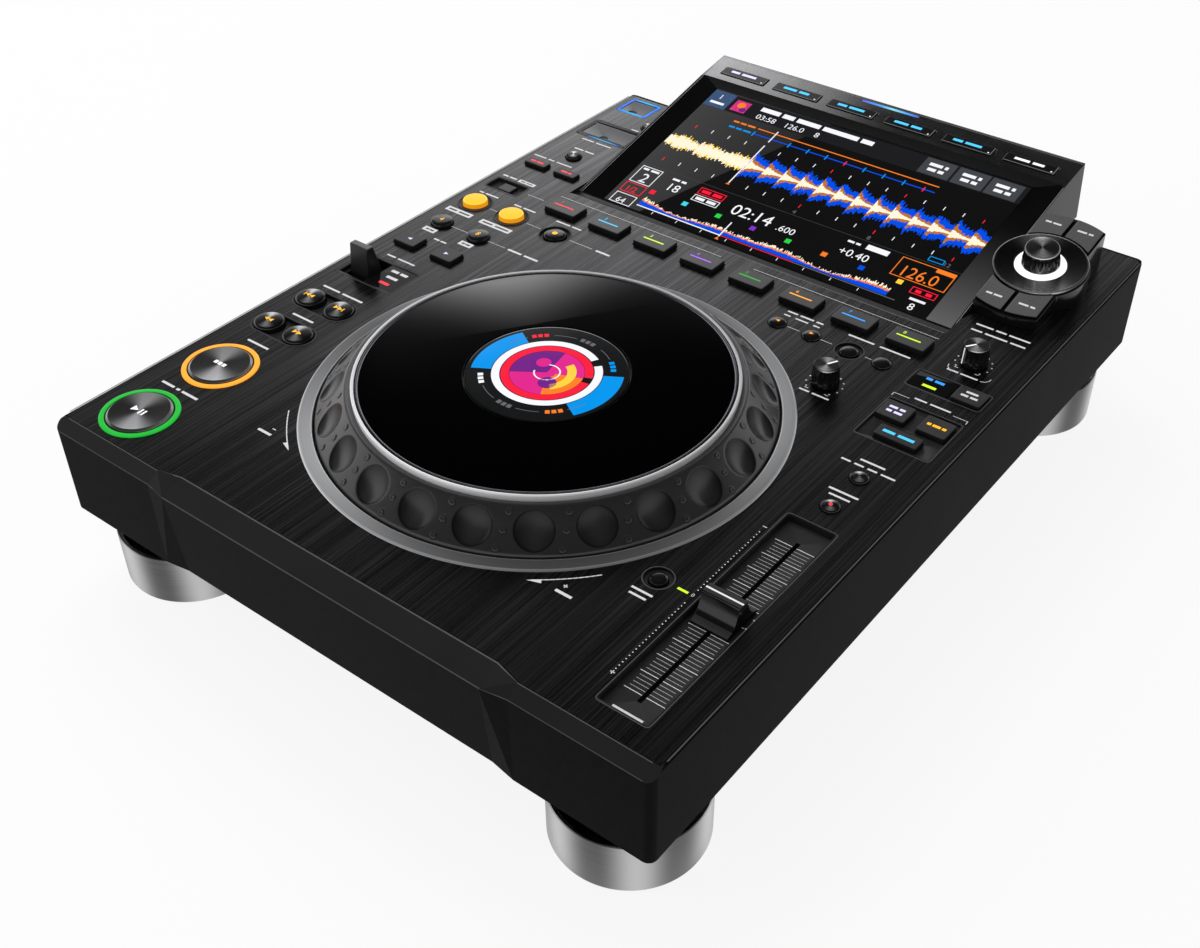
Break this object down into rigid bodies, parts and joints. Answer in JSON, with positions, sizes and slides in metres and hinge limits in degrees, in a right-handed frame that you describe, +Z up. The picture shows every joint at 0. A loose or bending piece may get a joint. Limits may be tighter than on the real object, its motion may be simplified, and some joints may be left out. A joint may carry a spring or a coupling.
{
  "type": "tabletop dj player",
  "caption": "Tabletop DJ player: spinning jog wheel round a fixed display, tilted touch screen, rotary selector, tempo slider, sprung buttons and keys, hinged flap and lid, cup feet.",
  "frame": {"origin": "on the table, below the middle of the overall outline", "axes": "+X to the player's right, +Y from its front to its rear, +Z up"},
  "size_m": [0.329, 0.455, 0.1151],
  "materials": {
    "case_black": "fine matt texture",
    "panel_aluminium": "dark anodised, brushed from front to rear",
    "bezel_black": "satin",
    "light_guide": "translucent, lit from below",
    "ring_aluminium": "spun",
    "cast_frame": "cast",
    "display_glass": "gloss, with a lit picture",
    "jog_black": "satin",
    "jog_gloss": "gloss, with a bright rim",
    "housing_black": "satin",
    "pod_black": "gloss",
    "foot_aluminium": "brushed",
    "pad_rubber": "matt",
    "board_green": "printed circuit board",
    "jack_black": "black plastic with bright barrels",
    "button_silver": "silver paint",
    "button_grey": "satin",
    "button_black": "satin",
    "loop_yellow": "lit yellow",
    "key_black": "satin with a lit edge",
    "key_grey": "satin",
    "knob_black": "fine ribs",
    "flap_grey": "satin",
    "lever_black": "satin",
    "shaft_steel": "turned",
    "selector_grey": "turned, with a fluted skirt"
  },
  "bodies": {
    "chassis": {"bottom_case": "case_black", "top_panel": "panel_aluminium", "panel_bezels": "bezel_black", "light_guides": "light_guide", "usb_frame": "light_guide", "trim_rings": "ring_aluminium", "jog_base": "cast_frame", "jog_display": "display_glass", "display_housing": "housing_black", "display_screen": "display_glass", "pod_base": "pod_black", "feet": "foot_aluminium", "foot_pads": "pad_rubber", "inner_units": "board_green", "rear_jacks": "jack_black"},
    "jog_wheel": {"jog_platter": "jog_black", "jog_disc": "jog_gloss"},
    "play_button_body": {"play_button": "button_silver"},
    "cue_button_body": {"cue_button": "button_silver"},
    "track_search_buttons_body": {"track_search_buttons": "button_grey"},
    "search_buttons_body": {"search_buttons": "button_grey"},
    "beat_jump_keys_body": {"beat_jump_keys": "button_black"},
    "beat_loop_buttons_body": {"beat_loop_buttons": "button_black"},
    "loop_in_button_body": {"loop_in_button": "loop_yellow"},
    "loop_out_button_body": {"loop_out_button": "loop_yellow"},
    "reloop_button_body": {"reloop_button": "button_black"},
    "recall_key_body": {"recall_key": "button_black"},
    "mode_keys_body": {"mode_keys": "key_grey"},
    "time_button_body": {"time_button": "button_black"},
    "hot_cue_key_1_body": {"hot_cue_key_1": "key_black"},
    "hot_cue_key_2_body": {"hot_cue_key_2": "key_black"},
    "hot_cue_key_3_body": {"hot_cue_key_3": "key_black"},
    "hot_cue_key_4_body": {"hot_cue_key_4": "key_black"},
    "hot_cue_key_5_body": {"hot_cue_key_5": "key_black"},
    "hot_cue_key_6_body": {"hot_cue_key_6": "key_black"},
    "hot_cue_key_7_body": {"hot_cue_key_7": "key_black"},
    "hot_cue_key_8_body": {"hot_cue_key_8": "key_black"},
    "usb_stop_button_body": {"usb_stop_button": "button_black"},
    "cue_call_buttons_body": {"cue_call_buttons": "button_black"},
    "delete_button_body": {"delete_button": "button_black"},
    "memory_button_body": {"memory_button": "button_black"},
    "jog_mode_key_body": {"jog_mode_key": "key_grey"},
    "beat_sync_key_body": {"beat_sync_key": "key_grey"},
    "master_key_body": {"master_key": "key_grey"},
    "key_sync_key_body": {"key_sync_key": "key_grey"},
    "tempo_range_button_body": {"tempo_range_button": "button_black"},
    "master_tempo_button_body": {"master_tempo_button": "button_black"},
    "tempo_reset_button_body": {"tempo_reset_button": "button_black"},
    "selector_keys_rear_body": {"selector_keys_rear": "key_grey"},
    "selector_keys_front_body": {"selector_keys_front": "key_grey"},
    "screen_keys_left_body": {"screen_keys_left": "key_black"},
    "screen_keys_right_body": {"screen_keys_right": "key_black"},
    "direction_lever_body": {"direction_lever": "lever_black"},
    "usb_flap_body": {"usb_flap": "flap_grey"},
    "card_lid_body": {"card_lid": "flap_grey"},
    "jog_adjust_knob_body": {"jog_adjust_knob": "knob_black"},
    "vinyl_speed_knob_body": {"vinyl_speed_knob": "knob_black"},
    "tempo_slider_body": {"tempo_slider": "knob_black"},
    "selector_shaft_body": {"selector_shaft": "shaft_steel"},
    "selector_knob_body": {"selector_knob": "selector_grey"}
  },
  "joints": [
    {"name": "jog_wheel_spin", "type": "hinge", "parent": "chassis", "child": "jog_wheel", "pos_m": [0.0009, -0.0829, 0.09], "axis": [0, 0, 1], "continuous": true},
    {"name": "play_button_press", "type": "slide", "parent": "chassis", "child": "play_button_body", "axis": [0, 0, -1], "range_m": [0, 0.001], "stiffness_N_per_m": 600, "springref_m": -0.002},
    {"name": "cue_button_press", "type": "slide", "parent": "chassis", "child": "cue_button_body", "axis": [0, 0, -1], "range_m": [0, 0.001], "stiffness_N_per_m": 600, "springref_m": -0.002},
    {"name": "track_search_buttons_press", "type": "slide", "parent": "chassis", "child": "track_search_buttons_body", "axis": [0, 0, -1], "range_m": [0, 0.001], "stiffness_N_per_m": 400, "springref_m": -0.002},
    {"name": "search_buttons_press", "type": "slide", "parent": "chassis", "child": "search_buttons_body", "axis": [0, 0, -1], "range_m": [0, 0.001], "stiffness_N_per_m": 400, "springref_m": -0.002},
    {"name": "beat_jump_keys_press", "type": "slide", "parent": "chassis", "child": "beat_jump_keys_body", "axis": [0, 0, -1], "range_m": [0, 0.001], "stiffness_N_per_m": 400, "springref_m": -0.002},
    {"name": "beat_loop_buttons_press", "type": "slide", "parent": "chassis", "child": "beat_loop_buttons_body", "axis": [0, 0, -1], "range_m": [0, 0.001], "stiffness_N_per_m": 400, "springref_m": -0.002},
    {"name": "loop_in_button_press", "type": "slide", "parent": "chassis", "child": "loop_in_button_body", "axis": [0, 0, -1], "range_m": [0, 0.001], "stiffness_N_per_m": 400, "springref_m": -0.002},
    {"name": "loop_out_button_press", "type": "slide", "parent": "chassis", "child": "loop_out_button_body", "axis": [0, 0, -1], "range_m": [0, 0.001], "stiffness_N_per_m": 400, "springref_m": -0.002},
    {"name": "reloop_button_press", "type": "slide", "parent": "chassis", "child": "reloop_button_body", "axis": [0, 0, -1], "range_m": [0, 0.001], "stiffness_N_per_m": 400, "springref_m": -0.002},
    {"name": "recall_key_press", "type": "slide", "parent": "chassis", "child": "recall_key_body", "axis": [0, 0, -1], "range_m": [0, 0.001], "stiffness_N_per_m": 400, "springref_m": -0.002},
    {"name": "mode_keys_press", "type": "slide", "parent": "chassis", "child": "mode_keys_body", "axis": [0, 0, -1], "range_m": [0, 0.001], "stiffness_N_per_m": 400, "springref_m": -0.002},
    {"name": "time_button_press", "type": "slide", "parent": "chassis", "child": "time_button_body", "axis": [0, 0, -1], "range_m": [0, 0.001], "stiffness_N_per_m": 400, "springref_m": -0.002},
    {"name": "hot_cue_key_1_press", "type": "slide", "parent": "chassis", "child": "hot_cue_key_1_body", "axis": [0, 0, -1], "range_m": [0, 0.001], "stiffness_N_per_m": 400, "springref_m": -0.002},
    {"name": "hot_cue_key_2_press", "type": "slide", "parent": "chassis", "child": "hot_cue_key_2_body", "axis": [0, 0, -1], "range_m": [0, 0.001], "stiffness_N_per_m": 400, "springref_m": -0.002},
    {"name": "hot_cue_key_3_press", "type": "slide", "parent": "chassis", "child": "hot_cue_key_3_body", "axis": [0, 0, -1], "range_m": [0, 0.001], "stiffness_N_per_m": 400, "springref_m": -0.002},
    {"name": "hot_cue_key_4_press", "type": "slide", "parent": "chassis", "child": "hot_cue_key_4_body", "axis": [0, 0, -1], "range_m": [0, 0.001], "stiffness_N_per_m": 400, "springref_m": -0.002},
    {"name": "hot_cue_key_5_press", "type": "slide", "parent": "chassis", "child": "hot_cue_key_5_body", "axis": [0, 0, -1], "range_m": [0, 0.001], "stiffness_N_per_m": 400, "springref_m": -0.002},
    {"name": "hot_cue_key_6_press", "type": "slide", "parent": "chassis", "child": "hot_cue_key_6_body", "axis": [0, 0, -1], "range_m": [0, 0.001], "stiffness_N_per_m": 400, "springref_m": -0.002},
    {"name": "hot_cue_key_7_press", "type": "slide", "parent": "chassis", "child": "hot_cue_key_7_body", "axis": [0, 0, -1], "range_m": [0, 0.001], "stiffness_N_per_m": 400, "springref_m": -0.002},
    {"name": "hot_cue_key_8_press", "type": "slide", "parent": "chassis", "child": "hot_cue_key_8_body", "axis": [0, 0, -1], "range_m": [0, 0.001], "stiffness_N_per_m": 400, "springref_m": -0.002},
    {"name": "usb_stop_button_press", "type": "slide", "parent": "chassis", "child": "usb_stop_button_body", "axis": [0, 0, -1], "range_m": [0, 0.001], "stiffness_N_per_m": 400, "springref_m": -0.002},
    {"name": "cue_call_buttons_press", "type": "slide", "parent": "chassis", "child": "cue_call_buttons_body", "axis": [0, 0, -1], "range_m": [0, 0.001], "stiffness_N_per_m": 400, "springref_m": -0.002},
    {"name": "delete_button_press", "type": "slide", "parent": "chassis", "child": "delete_button_body", "axis": [0, 0, -1], "range_m": [0, 0.001], "stiffness_N_per_m": 400, "springref_m": -0.002},
    {"name": "memory_button_press", "type": "slide", "parent": "chassis", "child": "memory_button_body", "axis": [0, 0, -1], "range_m": [0, 0.001], "stiffness_N_per_m": 400, "springref_m": -0.002},
    {"name": "jog_mode_key_press", "type": "slide", "parent": "chassis", "child": "jog_mode_key_body", "axis": [0, 0, -1], "range_m": [0, 0.001], "stiffness_N_per_m": 400, "springref_m": -0.002},
    {"name": "beat_sync_key_press", "type": "slide", "parent": "chassis", "child": "beat_sync_key_body", "axis": [0, 0, -1], "range_m": [0, 0.001], "stiffness_N_per_m": 400, "springref_m": -0.002},
    {"name": "master_key_press", "type": "slide", "parent": "chassis", "child": "master_key_body", "axis": [0, 0, -1], "range_m": [0, 0.001], "stiffness_N_per_m": 400, "springref_m": -0.002},
    {"name": "key_sync_key_press", "type": "slide", "parent": "chassis", "child": "key_sync_key_body", "axis": [0, 0, -1], "range_m": [0, 0.001], "stiffness_N_per_m": 400, "springref_m": -0.002},
    {"name": "tempo_range_button_press", "type": "slide", "parent": "chassis", "child": "tempo_range_button_body", "axis": [0, 0, -1], "range_m": [0, 0.001], "stiffness_N_per_m": 400, "springref_m": -0.002},
    {"name": "master_tempo_button_press", "type": "slide", "parent": "chassis", "child": "master_tempo_button_body", "axis": [0, 0, -1], "range_m": [0, 0.001], "stiffness_N_per_m": 400, "springref_m": -0.002},
    {"name": "tempo_reset_button_press", "type": "slide", "parent": "chassis", "child": "tempo_reset_button_body", "axis": [0, 0, -1], "range_m": [0, 0.001], "stiffness_N_per_m": 400, "springref_m": -0.002},
    {"name": "selector_keys_rear_press", "type": "slide", "parent": "chassis", "child": "selector_keys_rear_body", "axis": [0, 0.1736, -0.9848], "range_m": [0, 0.001], "stiffness_N_per_m": 400, "springref_m": -0.002},
    {"name": "selector_keys_front_press", "type": "slide", "parent": "chassis", "child": "selector_keys_front_body", "axis": [0, 0.1736, -0.9848], "range_m": [0, 0.001], "stiffness_N_per_m": 400, "springref_m": -0.002},
    {"name": "screen_keys_left_press", "type": "slide", "parent": "chassis", "child": "screen_keys_left_body", "axis": [0, 0.1719, -0.9851], "range_m": [0, 0.0005], "stiffness_N_per_m": 600, "springref_m": -0.002},
    {"name": "screen_keys_right_press", "type": "slide", "parent": "chassis", "child": "screen_keys_right_body", "axis": [0, 0.1719, -0.9851], "range_m": [0, 0.0005], "stiffness_N_per_m": 600, "springref_m": -0.002},
    {"name": "direction_lever_tilt", "type": "hinge", "parent": "chassis", "child": "direction_lever_body", "pos_m": [-0.1474, -0.0492, 0.077], "axis": [1, 0, 0], "range_deg": [-10, 10]},
    {"name": "usb_flap_hinge", "type": "hinge", "parent": "chassis", "child": "usb_flap_body", "pos_m": [-0.1487, 0.18915, 0.085], "axis": [-1, 0, 0], "range_deg": [0, 100]},
    {"name": "card_lid_hinge", "type": "hinge", "parent": "chassis", "child": "card_lid_body", "pos_m": [-0.1413, 0.15215, 0.085], "axis": [-1, 0, 0], "range_deg": [0, 100]},
    {"name": "jog_adjust_turn", "type": "hinge", "parent": "chassis", "child": "jog_adjust_knob_body", "pos_m": [0.091, 0.0051, 0.09], "axis": [0, 0, 1], "range_deg": [-300, 0]},
    {"name": "vinyl_speed_turn", "type": "hinge", "parent": "chassis", "child": "vinyl_speed_knob_body", "pos_m": [0.1375, 0.0605, 0.09], "axis": [0, 0, 1], "range_deg": [-300, 0]},
    {"name": "tempo_slider_travel", "type": "slide", "parent": "chassis", "child": "tempo_slider_body", "axis": [0, -1, 0], "range_m": [-0.05, 0.05]},
    {"name": "selector_press", "type": "slide", "parent": "chassis", "child": "selector_shaft_body", "axis": [0, 0.1736, -0.9848], "range_m": [0, 0.0008], "stiffness_N_per_m": 500, "springref_m": -0.002},
    {"name": "selector_turn", "type": "hinge", "parent": "selector_shaft_body", "child": "selector_knob_body", "pos_m": [0.1312, 0.1399, 0.1], "axis": [0, -0.1736, 0.9848], "continuous": true}
  ]
}
